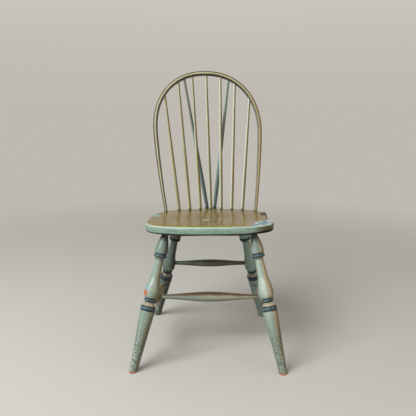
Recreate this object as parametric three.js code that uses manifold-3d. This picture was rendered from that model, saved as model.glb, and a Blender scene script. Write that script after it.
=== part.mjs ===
// A painted wooden side chair with a bent bow, seven spindles and two brace spindles.
// Millimetres, Z up, the front towards -Y, the feet on Z = 0.

import * as THREE from 'three';
import { mergeVertices } from 'three/addons/utils/BufferGeometryUtils.js';
import Module from 'manifold-3d';

const wasm = await Module();
wasm.setup();

// Seat
const seatHalfWidth = 211;
const seatWidestY = -56;
const seatFrontReach = 126.5;
const seatRearReach = 264.5;
const seatFrontSquareness = 2.7;
const seatRearSquareness = 3.3;
const seatThickness = 37;
const seatFrontHeight = 450.6;
const seatRearDrop = 19;
const seatRackRise = 6.4;
const seatEdgeRound = 10;
const seatUnderBevel = 46;
const seatUnderBevelHeight = 9;
const dishDepth = 6;
const dishHalfWidth = 92;
const dishHalfLength = 118;
const dishSpacing = 150;
const dishY = -18;
const seatSideDraft = 0.8;
const seatUnderCorner = 4;

// Tail that carries the brace spindles
const tailWidth = 54;
const tailLength = 56;
const tailThickness = 27;
const tailCornerRound = 16;

// Bow
const backCentreX = 1.7;
const bowFootHalfSpan = 165.6;
const bowFootSetback = 63;
const bowHalfWidth = 195.2;
const bowWidestHeight = 735;
const bowTopHeight = 939;
const bowRearLean = 135.3;
const bowSideLean = -25.3;
const bowFootCurve = 1.4;
const bowArchSquareness = 2.17;
const bowFaceWidth = 16;
const bowDepth = 18;
const bowBeadWidth = 7;
const bowGrooveDepth = 1.6;
const bowFootScale = 0.72;
const bowTaperLength = 290;
const bowShoulderHeight = 4;
const bowSideShare = 0.52;
const bowTenonRadius = 5.6;
const bowTenonDepth = 25;
const bowTenonLap = 6;

// Spindles
const spindleCount = 7;
const spindleSeatSpacing = 39.4;
const spindleBowSpacing = 53.5;
const spindleBowShift = 3.5;
const spindleSetback = 18;
const spindleLineDepth = 20;
const spindleFootRadius = 6;
const spindleSwellRadius = 6.6;
const spindleSwellHeight = 90;
const spindleTopRadius = 4.3;
const spindleTenonDepth = 22;
const spindleWaistAt = 0.45;
const spindleWaistShare = 0.35;

// Brace spindles
const braceTailSpacing = 29;
const braceBowSpacing = 169;
const braceTailSetback = 23;
const braceFootRadius = 6.4;
const braceSwellRadius = 7.8;
const braceTenonDepth = 20;
const bowTenonBeyondCentre = 2;

// Leg places, at the seat's underside and at the floor
const frontLegTopHalfSpan = 142;
const frontLegTopY = -122.5;
const frontFootHalfSpan = 233.5;
const frontFootY = -245;
const rearLegTopHalfSpan = 115;
const rearLegTopY = 112.3;
const rearFootHalfSpan = 208.7;
const rearFootY = 213.3;

// Leg turning, measured down the leg from the seat
const legTenonRadius = 11.5;
const legTenonDepth = 24;
const upperVaseRadius = 20.9;
const upperVaseAt = 51;
const upperRingRadius = 21;
const upperRingAt = 67.8;
const upperRingHeight = 9;
const collarRadius = 15;
const collarHeight = 4;
const neckRadius = 13.1;
const longVaseRadius = 23.9;
const longVaseAt = 186;
const middleRingRadius = 18.7;
const middleRingAt = 210.3;
const middleRingHeight = 8;
const coveRadius = 14.4;
const coveFlareRadius = 22;
const lowerRingRadius = 24.6;
const lowerRingAt = 236.2;
const lowerRingHeight = 11;
const taperTopRadius = 23.9;
const taperEndAt = 436;
const footRadius = 12.4;
const ringGrooveDepth = 2.4;
const ringGrooveWidth = 1;
const legShoulderAt = 5;
const neckDrop = 3;
const coveDrop = 2;

// Stretchers
const sideFrontAt = 226;
const sideRearAt = 276;
const sideEndRadius = 7;
const sideBulgeRadius = 22;
const sideBulgeShare = 0.36;
const medialEndRadius = 7.6;
const medialBulgeRadius = 16.6;
const rearStretcherAt = 176;
const rearEndRadius = 7.4;
const rearBulgeRadius = 13.6;
const stretcherEndShort = 3;
const stretcherTenonLength = 34;
const stretcherBulgePower = 1.6;
const stretcherSteps = 12;

// Clearance between a tenon and its socket, and how far a socket's cutter starts outside the piece
const fit = 0.3;
const socketLead = 40;

// Fineness of the round work
const legSides = 18;
const stretcherSides = 14;
const spindleSides = 10;
const seatSteps = 56;
const bowSteps = 60;

const paint = {
  sage: { color: 0x93a898, roughness: 0.42, metalness: 0 },
  seatGloss: { color: 0x8b7c50, roughness: 0.25, metalness: 0 },
  bowOlive: { color: 0xa5a384, roughness: 0.4, metalness: 0 },
  spindleOlive: { color: 0x8c9470, roughness: 0.42, metalness: 0 },
  braceGreen: { color: 0x5f7f78, roughness: 0.5, metalness: 0 },
  stretcherSage: { color: 0x8d9885, roughness: 0.45, metalness: 0 },
};

const { lerp, smoothstep } = THREE.MathUtils;

// Solids

function signedVolume(positions, triangles) {
  const a = new THREE.Vector3();
  const b = new THREE.Vector3();
  const c = new THREE.Vector3();
  let volume = 0;
  for (let i = 0; i < triangles.length; i += 3) {
    a.fromBufferAttribute(positions, triangles[i]);
    b.fromBufferAttribute(positions, triangles[i + 1]);
    c.fromBufferAttribute(positions, triangles[i + 2]);
    volume += a.dot(b.cross(c)) / 6;
  }
  return volume;
}

// A closed geometry as a solid: vertices merged, flat triangles dropped, faces outward
function toSolid(geometry) {
  geometry.deleteAttribute('normal');
  geometry.deleteAttribute('uv');
  const merged = mergeVertices(geometry, 1e-4);
  const index = merged.index.array;
  const triangles = [];
  for (let i = 0; i < index.length; i += 3) {
    const [a, b, c] = [index[i], index[i + 1], index[i + 2]];
    if (a !== b && b !== c && c !== a) {
      triangles.push(a, b, c);
    }
  }
  if (signedVolume(merged.attributes.position, triangles) < 0) {
    triangles.reverse();
  }
  return new wasm.Manifold(new wasm.Mesh({
    numProp: 3,
    vertProperties: new Float32Array(merged.attributes.position.array),
    triVerts: new Uint32Array(triangles),
  }));
}

// Places a shape so that its local Y axis runs from start to end, with its origin at start
function alongAxis(start, end) {
  const direction = new THREE.Vector3().subVectors(end, start).normalize();
  const turn = new THREE.Quaternion().setFromUnitVectors(new THREE.Vector3(0, 1, 0), direction);
  return new THREE.Matrix4().compose(start, turn, new THREE.Vector3(1, 1, 1));
}

// A round socket for a pin of the given radius, its flats at the clearance
function socket(start, end, pinRadius, sides) {
  const radius = (pinRadius + fit) / Math.cos(Math.PI / sides);
  const length = start.distanceTo(end);
  const geometry = new THREE.CylinderGeometry(radius, radius, length, sides);
  geometry.translate(0, length / 2, 0);
  geometry.applyMatrix4(alongAxis(start, end));
  return toSolid(geometry);
}

function cut(piece, worldSolid) {
  const toLocal = piece.placement.clone().invert();
  piece.solid = piece.solid.subtract(worldSolid.transform(toLocal.elements));
}

// The point that lies the given distance from start towards end
function pointAlong(start, end, distance) {
  const direction = new THREE.Vector3().subVectors(end, start).normalize();
  return start.clone().addScaledVector(direction, distance);
}

// Seat

const seatFrontY = seatWidestY - seatFrontReach;
const seatRearY = seatWidestY + seatRearReach;

// Height of the seat's plain top, which falls to the rear and stands a little high on one side
function seatTop(x, y) {
  const rearFall = (seatRearDrop * (y - seatFrontY)) / (seatRearY - seatFrontY);
  const rack = (seatRackRise * x) / (2 * seatHalfWidth);
  return seatFrontHeight - rearFall + rack;
}

function seatPoint(x, y, drop = 0) {
  return new THREE.Vector3(x, y, seatTop(x, y) - drop);
}

// Distance from the seat's centre to its outline, in the direction of the angle
function seatReach(angle) {
  const across = Math.cos(angle);
  const along = Math.sin(angle);
  const reach = along < 0 ? seatFrontReach : seatRearReach;
  const power = along < 0 ? seatFrontSquareness : seatRearSquareness;
  const sum = (Math.abs(across) / seatHalfWidth) ** power + (Math.abs(along) / reach) ** power;
  return sum ** (-1 / power);
}

// Two shallow hollows, one for each thigh
function dish(x, y) {
  let depth = 0;
  for (const side of [-1, 1]) {
    const across = (x - (side * dishSpacing) / 2) / dishHalfWidth;
    const along = (y - dishY) / dishHalfLength;
    const far = Math.min(1, across ** 2 + along ** 2);
    depth = Math.max(depth, dishDepth * (1 - far) ** 1.5);
  }
  return depth;
}

// Rings of the seat from the top's centre over the edge to the underside's centre.
// share scales the outline, inset draws it in, drop is the depth below the plain top.
function seatRings() {
  const top = [0, 0.22, 0.42, 0.6, 0.76, 0.88].map((share) => ({ share, inset: 0, drop: 0, top: true }));
  const edge = [];
  for (const turn of [0, 0.3, 0.55, 0.8, 1]) {
    const angle = (turn * Math.PI) / 2;
    const inset = seatEdgeRound * (1 - Math.sin(angle));
    const drop = seatEdgeRound * (1 - Math.cos(angle));
    edge.push({ share: 1, inset, drop, top: false });
  }
  const bevelTop = seatThickness - seatUnderBevelHeight;
  const under = [
    { share: 1, inset: seatSideDraft, drop: bevelTop - seatUnderCorner, top: false },
    { share: 1, inset: seatUnderCorner, drop: bevelTop, top: false },
    { share: 1, inset: seatUnderBevel, drop: seatThickness, top: false },
    { share: 0, inset: 0, drop: seatThickness, top: false },
  ];
  return [...top, ...edge, ...under];
}

function seatBlank() {
  const rings = seatRings();
  const profile = rings.map((ring, i) => new THREE.Vector2(ring.share, i));
  const geometry = new THREE.LatheGeometry(profile, seatSteps);
  const positions = geometry.attributes.position;
  for (let step = 0; step <= seatSteps; step += 1) {
    const angle = (2 * Math.PI * (step % seatSteps)) / seatSteps;
    rings.forEach((ring, i) => {
      const reach = ring.share * seatReach(angle) - ring.inset;
      const x = reach * Math.cos(angle);
      const y = seatWidestY + reach * Math.sin(angle);
      const hollow = ring.top ? dish(x, y) : 0;
      positions.setXYZ(step * rings.length + i, x, y, seatTop(x, y) - ring.drop - hollow);
    });
  }
  return toSolid(geometry);
}

// The tail: a block with round rear corners, flush with the deck, one with the seat
function tailBlank() {
  const half = tailWidth / 2;
  const front = seatRearY - seatUnderBevel;
  const rear = seatRearY + tailLength;
  const outline = new THREE.Shape();
  const cornerY = rear - tailCornerRound;
  const cornerX = half - tailCornerRound;
  outline.moveTo(backCentreX - half, front);
  outline.lineTo(backCentreX + half, front);
  outline.lineTo(backCentreX + half, cornerY);
  outline.absarc(backCentreX + cornerX, cornerY, tailCornerRound, 0, Math.PI / 2);
  outline.absarc(backCentreX - cornerX, cornerY, tailCornerRound, Math.PI / 2, Math.PI);
  outline.closePath();
  const geometry = new THREE.ExtrudeGeometry(outline, {
    depth: tailThickness,
    steps: 1,
    bevelEnabled: false,
    curveSegments: 6,
  });
  const positions = geometry.attributes.position;
  for (let i = 0; i < positions.count; i += 1) {
    const x = positions.getX(i);
    const y = positions.getY(i);
    positions.setZ(i, seatTop(x, y) - tailThickness + positions.getZ(i));
  }
  return toSolid(geometry);
}

const seat = {
  name: 'seat',
  solid: seatBlank().add(tailBlank()),
  placement: new THREE.Matrix4(),
  finish: paint.seatGloss,
};

// Bow

const bowFootY = seatRearY - bowFootSetback;
const bowFootHeight = seatTop(backCentreX, bowFootY);

// Half span of the bow's centre line at a height below its widest point
function bowSideSpan(height) {
  const share = THREE.MathUtils.clamp((height - bowFootHeight) / (bowWidestHeight - bowFootHeight), 0, 1);
  return lerp(bowFootHalfSpan, bowHalfWidth, 1 - (1 - share) ** bowFootCurve);
}

// The bow leans back and, racked by age, to one side
function bowPoint(across, height) {
  const rise = (height - bowFootHeight) / (bowTopHeight - bowFootHeight);
  const x = backCentreX + across + bowSideLean * rise;
  return new THREE.Vector3(x, bowFootY + bowRearLean * rise, height);
}

// Point on the bow's arch at a distance to one side of its middle
function bowArchPoint(across) {
  const share = 1 - (Math.abs(across) / bowHalfWidth) ** bowArchSquareness;
  const height = bowWidestHeight + (bowTopHeight - bowWidestHeight) * share ** (1 / bowArchSquareness);
  return bowPoint(across, height);
}

// Where the bow's foot meets the seat: the foot's line, met with the seat's sloping top
function bowSeatPoint(side) {
  const foot = bowPoint(side * bowFootHalfSpan, bowFootHeight);
  return new THREE.Vector3(foot.x, foot.y, seatTop(foot.x, foot.y));
}

// Centre line of the bow, from just over the seat on one side to just over it on the other
class BowCurve extends THREE.Curve {
  getPoint(t, target = new THREE.Vector3()) {
    const side = t < 0.5 ? -1 : 1;
    const toTop = 1 - Math.abs(2 * t - 1);
    if (toTop < bowSideShare) {
      const start = bowSeatPoint(side).z + bowShoulderHeight;
      const height = lerp(start, bowWidestHeight, toTop / bowSideShare);
      return target.copy(bowPoint(side * bowSideSpan(height), height));
    }
    const angle = ((toTop - bowSideShare) / (1 - bowSideShare)) * (Math.PI / 2);
    const across = bowHalfWidth * Math.cos(angle) ** (2 / bowArchSquareness);
    const up = Math.sin(angle) ** (2 / bowArchSquareness);
    const height = lerp(bowWidestHeight, bowTopHeight, up);
    return target.copy(bowPoint(side * across, height));
  }
}

// Section of the bow: x across its face, y through its depth, a bead between two grooves
function bowSection() {
  const half = bowFaceWidth / 2;
  const deep = bowDepth / 2;
  const bead = bowBeadWidth / 2;
  const groove = bowGrooveDepth;
  const corner = (half - bead) / 2;
  const quarter = [
    [bead * 0.5, deep - groove * 0.2],
    [bead, deep - groove],
    [bead + corner, deep - groove * 0.5],
    [half, deep - groove - corner],
  ];
  const back = [
    [half, corner * 2 - deep],
    [half - corner * 2, -deep],
  ];
  const right = [...quarter, ...back];
  const left = right.map(([x, y]) => [-x, y]).reverse();
  const ring = [[0, deep], ...right, ...left];
  return new THREE.Shape(ring.map(([x, y]) => new THREE.Vector2(x, y)));
}

function bowBlank() {
  const geometry = new THREE.ExtrudeGeometry(bowSection(), {
    steps: bowSteps,
    extrudePath: new BowCurve(),
  });
  const positions = geometry.attributes.position;
  for (let i = 0; i < positions.count; i += 1) {
    const z = positions.getZ(i);
    const side = Math.sign(positions.getX(i) - backCentreX);
    const line = bowPoint(side * bowSideSpan(z), z);
    const grown = smoothstep(z, bowFootHeight, bowFootHeight + bowTaperLength);
    const scale = lerp(bowFootScale, 1, grown);
    if (scale < 1) {
      positions.setX(i, line.x + (positions.getX(i) - line.x) * scale);
      positions.setY(i, line.y + (positions.getY(i) - line.y) * scale);
    }
  }
  return toSolid(geometry);
}

// Direction of each foot of the bow, taken from the two ends of its centre line
function bowFootAxis(side) {
  const start = bowSeatPoint(side);
  const height = start.z + socketLead;
  const above = bowPoint(side * bowSideSpan(height), height);
  return { start, above };
}

const bow = {
  name: 'bow',
  solid: bowBlank(),
  placement: new THREE.Matrix4(),
  finish: paint.bowOlive,
};

for (const side of [-1, 1]) {
  const { start, above } = bowFootAxis(side);
  const tenonEnd = pointAlong(start, above, -bowTenonDepth);
  const length = bowTenonDepth + bowShoulderHeight + bowTenonLap;
  const pin = new THREE.CylinderGeometry(bowTenonRadius, bowTenonRadius, length, spindleSides);
  pin.translate(0, length / 2, 0);
  pin.applyMatrix4(alongAxis(tenonEnd, above));
  bow.solid = bow.solid.add(toSolid(pin));
  cut(seat, socket(pointAlong(start, above, -bowTenonDepth - fit), above, bowTenonRadius, spindleSides));
}

// Turned pieces

// Points of a turning from one place to another: x is the radius, y the distance down the leg
function swell(from, to, steps, ease) {
  const points = [];
  for (let step = 1; step <= steps; step += 1) {
    const share = step / steps;
    points.push(new THREE.Vector2(lerp(from.x, to.x, ease(share)), lerp(from.y, to.y, share)));
  }
  return points;
}

// A half round ring that stands out of a groove on each side
function ringPoints(at, height, radius) {
  const points = [];
  for (const angle of [-90, -50, 0, 50, 90]) {
    const turn = THREE.MathUtils.degToRad(angle);
    const out = radius - ringGrooveDepth * (1 - Math.cos(turn));
    points.push(new THREE.Vector2(out, at + (height / 2) * Math.sin(turn)));
  }
  return points;
}

function legTurning() {
  const roundOut = (share) => Math.sin((share * Math.PI) / 2);
  const roundIn = (share) => 1 - Math.sqrt(1 - share ** 2);
  const vaseRise = (share) => 0.5 * share + 0.5 * smoothstep(share, 0.5, 0.92);
  const taperFall = (share) => share ** 0.9;
  const upperGroove = upperRingAt - upperRingHeight / 2 - ringGrooveWidth;
  const collarTop = upperRingAt + upperRingHeight / 2 + ringGrooveWidth;
  const neckAt = collarTop + collarHeight + neckDrop;
  const middleGroove = middleRingAt - middleRingHeight / 2 - ringGrooveWidth;
  const coveTop = middleRingAt + middleRingHeight / 2 + ringGrooveWidth;
  const coveEnd = lowerRingAt - lowerRingHeight / 2 - ringGrooveWidth;
  const taperTop = lowerRingAt + lowerRingHeight / 2 + ringGrooveWidth;
  const point = (radius, at) => new THREE.Vector2(radius, at);
  const shoulder = point(legTenonRadius, legShoulderAt);
  const upperVase = point(upperVaseRadius, upperVaseAt);
  const upperVaseFoot = point(upperRingRadius - ringGrooveDepth - ringGrooveWidth, upperGroove);
  const neck = point(neckRadius, neckAt);
  const longVase = point(longVaseRadius, longVaseAt);
  const longVaseFoot = point(middleRingRadius - ringGrooveDepth, middleGroove);
  const cove = point(coveRadius, coveTop + coveDrop);
  const coveFlare = point(coveFlareRadius, coveEnd);
  const taperStart = point(taperTopRadius, taperTop + neckDrop);
  const taperEnd = point(footRadius, taperEndAt);
  return [
    point(0, -legTenonDepth),
    point(legTenonRadius, -legTenonDepth),
    shoulder,
    ...swell(shoulder, upperVase, 4, roundOut),
    ...swell(upperVase, upperVaseFoot, 3, roundIn),
    ...ringPoints(upperRingAt, upperRingHeight, upperRingRadius),
    point(collarRadius, collarTop),
    point(collarRadius, collarTop + collarHeight),
    neck,
    ...swell(neck, longVase, 8, vaseRise),
    ...swell(longVase, longVaseFoot, 4, roundIn),
    ...ringPoints(middleRingAt, middleRingHeight, middleRingRadius),
    point(coveRadius, coveTop),
    ...swell(cove, coveFlare, 3, roundOut),
    ...ringPoints(lowerRingAt, lowerRingHeight, lowerRingRadius),
    point(lowerRingRadius - ringGrooveDepth - ringGrooveWidth, taperTop),
    taperStart,
    ...swell(taperStart, taperEnd, 3, taperFall),
  ];
}

function legTopPoint(side, halfSpan, y) {
  return seatPoint(side * halfSpan, y, seatThickness);
}

// A leg stands from its foot on the floor up into the seat; its foot is cut level
function makeLeg(name, foot, top) {
  const length = foot.distanceTo(top);
  const belowFloor = 2 * footRadius;
  const turning = legTurning().filter((p) => p.y < length);
  const profile = turning.map((p) => new THREE.Vector2(p.x, length - p.y));
  profile.push(new THREE.Vector2(footRadius, -belowFloor / 2));
  profile.push(new THREE.Vector2(0, -belowFloor / 2));
  profile.reverse();
  const leg = {
    name,
    solid: toSolid(new THREE.LatheGeometry(profile, legSides)),
    placement: alongAxis(foot, top),
    finish: paint.sage,
    foot,
    top,
  };
  const floorBlock = new THREE.BoxGeometry(8 * footRadius, 8 * footRadius, 4 * belowFloor);
  floorBlock.translate(foot.x, foot.y, -2 * belowFloor);
  cut(leg, toSolid(floorBlock));
  const socketTop = pointAlong(top, foot, -legTenonDepth - fit);
  cut(seat, socket(socketTop, pointAlong(top, foot, socketLead), legTenonRadius, legSides));
  return leg;
}

const legs = {};
for (const [side, sideName] of [[-1, 'left'], [1, 'right']]) {
  legs[`front_${sideName}`] = makeLeg(
    `leg_front_${sideName}`,
    new THREE.Vector3(side * frontFootHalfSpan, frontFootY, 0),
    legTopPoint(side, frontLegTopHalfSpan, frontLegTopY),
  );
  legs[`rear_${sideName}`] = makeLeg(
    `leg_rear_${sideName}`,
    new THREE.Vector3(side * rearFootHalfSpan, rearFootY, 0),
    legTopPoint(side, rearLegTopHalfSpan, rearLegTopY),
  );
}

function legAxisPoint(leg, at) {
  return pointAlong(leg.top, leg.foot, at);
}

// A stretcher runs between the axes of the two pieces that hold it
function makeStretcher(name, start, end, endRadius, bulgeRadius, bulgeShare, holders) {
  const length = start.distanceTo(end);
  const tenon = stretcherTenonLength;
  const profile = [
    new THREE.Vector2(0, stretcherEndShort),
    new THREE.Vector2(endRadius, stretcherEndShort),
  ];
  const centre = length * bulgeShare;
  for (let step = 0; step <= stretcherSteps; step += 1) {
    const y = lerp(tenon, length - tenon, step / stretcherSteps);
    const reach = y < centre ? centre - tenon : length - tenon - centre;
    const share = Math.cos((Math.PI / 2) * Math.min(1, Math.abs(y - centre) / reach));
    profile.push(new THREE.Vector2(lerp(endRadius, bulgeRadius, share ** stretcherBulgePower), y));
  }
  profile.push(new THREE.Vector2(endRadius, length - stretcherEndShort));
  profile.push(new THREE.Vector2(0, length - stretcherEndShort));
  const startHole = pointAlong(start, end, stretcherEndShort - fit);
  const endHole = pointAlong(end, start, stretcherEndShort - fit);
  const middle = start.clone().lerp(end, 0.5);
  cut(holders[0], socket(startHole, middle, endRadius, stretcherSides));
  cut(holders[1], socket(endHole, middle, endRadius, stretcherSides));
  return {
    name,
    solid: toSolid(new THREE.LatheGeometry(profile, stretcherSides)),
    placement: alongAxis(start, end),
    finish: paint.stretcherSage,
    start,
    end,
  };
}

const sideStretchers = {};
for (const sideName of ['left', 'right']) {
  const front = legs[`front_${sideName}`];
  const rear = legs[`rear_${sideName}`];
  sideStretchers[sideName] = makeStretcher(
    `side_stretcher_${sideName}`,
    legAxisPoint(front, sideFrontAt),
    legAxisPoint(rear, sideRearAt),
    sideEndRadius,
    sideBulgeRadius,
    sideBulgeShare,
    [front, rear],
  );
}

// The medial stretcher joins the thickest places of the side stretchers
const bulgePoint = (stretcher) => stretcher.start.clone().lerp(stretcher.end, sideBulgeShare);
const medialStretcher = makeStretcher(
  'medial_stretcher',
  bulgePoint(sideStretchers.left),
  bulgePoint(sideStretchers.right),
  medialEndRadius,
  medialBulgeRadius,
  0.5,
  [sideStretchers.left, sideStretchers.right],
);

const rearStretcher = makeStretcher(
  'rear_stretcher',
  legAxisPoint(legs.rear_left, rearStretcherAt),
  legAxisPoint(legs.rear_right, rearStretcherAt),
  rearEndRadius,
  rearBulgeRadius,
  0.5,
  [legs.rear_left, legs.rear_right],
);

// Spindles

// A spindle tapers from a swelling near its foot to a thin top inside the bow
function makeSpindle(name, base, top, footR, swellR, tenonDepth, finish) {
  const length = base.distanceTo(top);
  const end = length + bowTenonBeyondCentre;
  const profile = [
    new THREE.Vector2(0, -tenonDepth),
    new THREE.Vector2(footR, -tenonDepth),
    new THREE.Vector2(footR, footR),
    new THREE.Vector2(swellR, spindleSwellHeight),
    new THREE.Vector2(lerp(swellR, spindleTopRadius, spindleWaistShare), length * spindleWaistAt),
    new THREE.Vector2(spindleTopRadius, length - 2 * bowFaceWidth),
    new THREE.Vector2(spindleTopRadius, end),
    new THREE.Vector2(0, end),
  ];
  const seatHoleEnd = pointAlong(base, top, -tenonDepth - fit);
  cut(seat, socket(seatHoleEnd, pointAlong(base, top, socketLead), footR, spindleSides));
  const holeEnd = pointAlong(base, top, end + fit);
  cut(bow, socket(holeEnd, pointAlong(holeEnd, base, 2 * bowFaceWidth), spindleTopRadius, spindleSides));
  return {
    name,
    solid: toSolid(new THREE.LatheGeometry(profile, spindleSides)),
    placement: alongAxis(base, top),
    finish,
  };
}

const spindles = [];
const middleSpindle = (spindleCount - 1) / 2;
for (let i = 0; i < spindleCount; i += 1) {
  const place = i - middleSpindle;
  const x = backCentreX + place * spindleSeatSpacing;
  const y = seatRearY - spindleSetback - spindleLineDepth * (place / middleSpindle) ** 2;
  spindles.push(makeSpindle(
    `spindle_${i + 1}`,
    seatPoint(x, y),
    bowArchPoint(place * spindleBowSpacing + spindleBowShift),
    spindleFootRadius,
    spindleSwellRadius,
    spindleTenonDepth,
    paint.spindleOlive,
  ));
}

for (const [side, sideName] of [[-1, 'left'], [1, 'right']]) {
  const base = seatPoint(backCentreX + (side * braceTailSpacing) / 2, seatRearY + tailLength - braceTailSetback);
  const top = bowArchPoint((side * braceBowSpacing) / 2 + spindleBowShift);
  spindles.push(makeSpindle(
    `brace_spindle_${sideName}`,
    base,
    top,
    braceFootRadius,
    braceSwellRadius,
    braceTenonDepth,
    paint.braceGreen,
  ));
}

// The chair, with its feet on Z = 0 and its box centred on the Z axis

function toMesh(piece) {
  const mesh = piece.solid.getMesh();
  const geometry = new THREE.BufferGeometry();
  geometry.setAttribute('position', new THREE.BufferAttribute(mesh.vertProperties, 3));
  geometry.setIndex(new THREE.BufferAttribute(mesh.triVerts, 1));
  geometry.computeVertexNormals();
  const result = new THREE.Mesh(geometry, new THREE.MeshStandardMaterial(piece.finish));
  result.name = piece.name;
  result.applyMatrix4(piece.placement);
  return result;
}

const pieces = [
  seat,
  bow,
  ...Object.values(legs),
  ...Object.values(sideStretchers),
  medialStretcher,
  rearStretcher,
  ...spindles,
];

const chair = new THREE.Group();
for (const piece of pieces) {
  chair.add(toMesh(piece));
}
chair.updateMatrixWorld(true);
const box = new THREE.Box3().setFromObject(chair, true);
chair.position.set(-(box.min.x + box.max.x) / 2, -(box.min.y + box.max.y) / 2, -box.min.z);

export default chair;
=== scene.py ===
"""A painted wooden side chair with a bent bow, long spindles and turned legs, in worn, peeling green paint."""

import bisect
import functools
import math

import bmesh
import bpy
from mathutils import Matrix, Vector, noise


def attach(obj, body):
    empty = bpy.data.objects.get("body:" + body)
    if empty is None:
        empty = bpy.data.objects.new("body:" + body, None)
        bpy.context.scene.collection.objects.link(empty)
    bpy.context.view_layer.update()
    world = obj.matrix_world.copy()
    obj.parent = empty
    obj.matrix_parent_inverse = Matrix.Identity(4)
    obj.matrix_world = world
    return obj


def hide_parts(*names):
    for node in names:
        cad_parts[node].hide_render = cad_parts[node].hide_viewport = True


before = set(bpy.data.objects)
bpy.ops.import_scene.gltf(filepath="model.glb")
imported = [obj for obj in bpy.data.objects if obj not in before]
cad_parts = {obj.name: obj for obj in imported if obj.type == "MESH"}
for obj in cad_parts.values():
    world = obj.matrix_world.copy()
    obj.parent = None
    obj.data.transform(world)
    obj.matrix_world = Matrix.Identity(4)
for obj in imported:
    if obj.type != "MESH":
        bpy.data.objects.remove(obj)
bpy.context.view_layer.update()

MM = 0.001
# How far the materials' own coordinates move for a millimetre
GRAIN = 0.01
SIDES = ((-1, "left"), (1, "right"))
# The chair's box is centred on the Z axis; this is how far its own middle lies from there
OFFSET = Vector((0.0025, -16.307, 0.0))

# Sizes, in millimetres

SEAT_HALF_WIDTH = 211.0
SEAT_WIDEST_Y = -56.0
SEAT_FRONT_REACH = 126.5
SEAT_REAR_REACH = 264.5
SEAT_FRONT_POWER = 2.7
SEAT_REAR_POWER = 3.3
SEAT_THICKNESS = 37.0
SEAT_FRONT_HEIGHT = 450.6
SEAT_REAR_DROP = 19.0
SEAT_RACK_RISE = 6.4
SEAT_EDGE_ROUND = 10.0
SEAT_BEVEL = 46.0
SEAT_BEVEL_HEIGHT = 9.0
SEAT_SIDE_DRAFT = 0.8
SEAT_UNDER_CORNER = 4.0
SEAT_WAVE = 0.22
DISH_DEPTH = 6.0
DISH_HALF_WIDTH = 92.0
DISH_HALF_LENGTH = 118.0
DISH_SPACING = 150.0
DISH_Y = -18.0

TAIL_WIDTH = 54.0
TAIL_LENGTH = 56.0
TAIL_THICKNESS = 27.0
TAIL_CORNER = 16.0

BACK_X = 1.7
BOW_FOOT_HALF_SPAN = 165.6
BOW_FOOT_SETBACK = 63.0
BOW_HALF_WIDTH = 195.2
BOW_WIDEST_HEIGHT = 735.0
BOW_TOP_HEIGHT = 939.0
BOW_REAR_LEAN = 135.3
BOW_SIDE_LEAN = -25.3
BOW_FOOT_CURVE = 1.4
BOW_POWER = 2.17
BOW_FACE = 16.0
BOW_DEPTH = 18.0
BOW_FOOT_SCALE = 0.72
BOW_TAPER = 290.0
BOW_SIDE_SHARE = 0.52
BOW_STEPS = 420
BOW_FINE_STEPS = 2400
BOW_FOOT_SUNK = 3.0
BOW_WAVE = 0.18

SPINDLE_COUNT = 7
SPINDLE_SEAT_SPACING = 39.4
SPINDLE_BOW_SPACING = 53.5
SPINDLE_BOW_SHIFT = 3.5
SPINDLE_SETBACK = 18.0
SPINDLE_LINE_DEPTH = 20.0
SPINDLE_FOOT = 6.0
SPINDLE_SWELL = 6.6
SPINDLE_SWELL_AT = 90.0
SPINDLE_TOP = 4.3
SPINDLE_SIDES = 32

BRACE_TAIL_SPACING = 29.0
BRACE_BOW_SPACING = 169.0
BRACE_TAIL_SETBACK = 23.0
BRACE_FOOT = 6.4
BRACE_SWELL = 7.8

FRONT_TOP_HALF_SPAN = 142.0
FRONT_TOP_Y = -122.5
FRONT_FOOT_HALF_SPAN = 233.5
FRONT_FOOT_Y = -245.0
REAR_TOP_HALF_SPAN = 115.0
REAR_TOP_Y = 112.3
REAR_FOOT_HALF_SPAN = 208.7
REAR_FOOT_Y = 213.3

SIDE_FRONT_AT = 226.0
SIDE_REAR_AT = 276.0
SIDE_END = 7.0
SIDE_BULGE = 22.0
SIDE_BULGE_SHARE = 0.36
MEDIAL_END = 7.6
MEDIAL_BULGE = 16.6
REAR_AT = 176.0
REAR_END = 7.4
REAR_BULGE = 13.6


def lerp(a, b, t):
    return a + (b - a) * t


def smooth(low, high, value):
    t = min(1.0, max(0.0, (value - low) / (high - low)))
    return t * t * (3.0 - 2.0 * t)


def bell(value, centre, half):
    """One at the centre, falling to nothing at half a width on either side."""
    return 1.0 - smooth(0.0, half, abs(value - centre))


def table_value(table, at, outside):
    """The value at a place between the rows of a table, and another one outside it."""
    if not table[0][0] < at < table[-1][0]:
        return outside
    row = bisect.bisect_left(table, (at,))
    (a, low), (b, high) = table[row - 1], table[row]
    return lerp(low, high, (at - a) / (b - a))


# Places shared by the pieces

SEAT_FRONT_Y = SEAT_WIDEST_Y - SEAT_FRONT_REACH
SEAT_REAR_Y = SEAT_WIDEST_Y + SEAT_REAR_REACH
SPINDLE_MIDDLE = (SPINDLE_COUNT - 1) / 2.0


def seat_top(x, y):
    fall = SEAT_REAR_DROP * (y - SEAT_FRONT_Y) / (SEAT_REAR_Y - SEAT_FRONT_Y)
    return SEAT_FRONT_HEIGHT - fall + SEAT_RACK_RISE * x / (2.0 * SEAT_HALF_WIDTH)


def seat_point(x, y, drop=0.0):
    return Vector((x, y, seat_top(x, y) - drop))


def seat_reach(angle):
    across, along = math.cos(angle), math.sin(angle)
    reach, power = (SEAT_FRONT_REACH, SEAT_FRONT_POWER) if along < 0 else (SEAT_REAR_REACH, SEAT_REAR_POWER)
    return ((abs(across) / SEAT_HALF_WIDTH) ** power + (abs(along) / reach) ** power) ** (-1.0 / power)


BOW_FOOT_Y = SEAT_REAR_Y - BOW_FOOT_SETBACK
BOW_FOOT_Z = seat_top(BACK_X, BOW_FOOT_Y)


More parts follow.
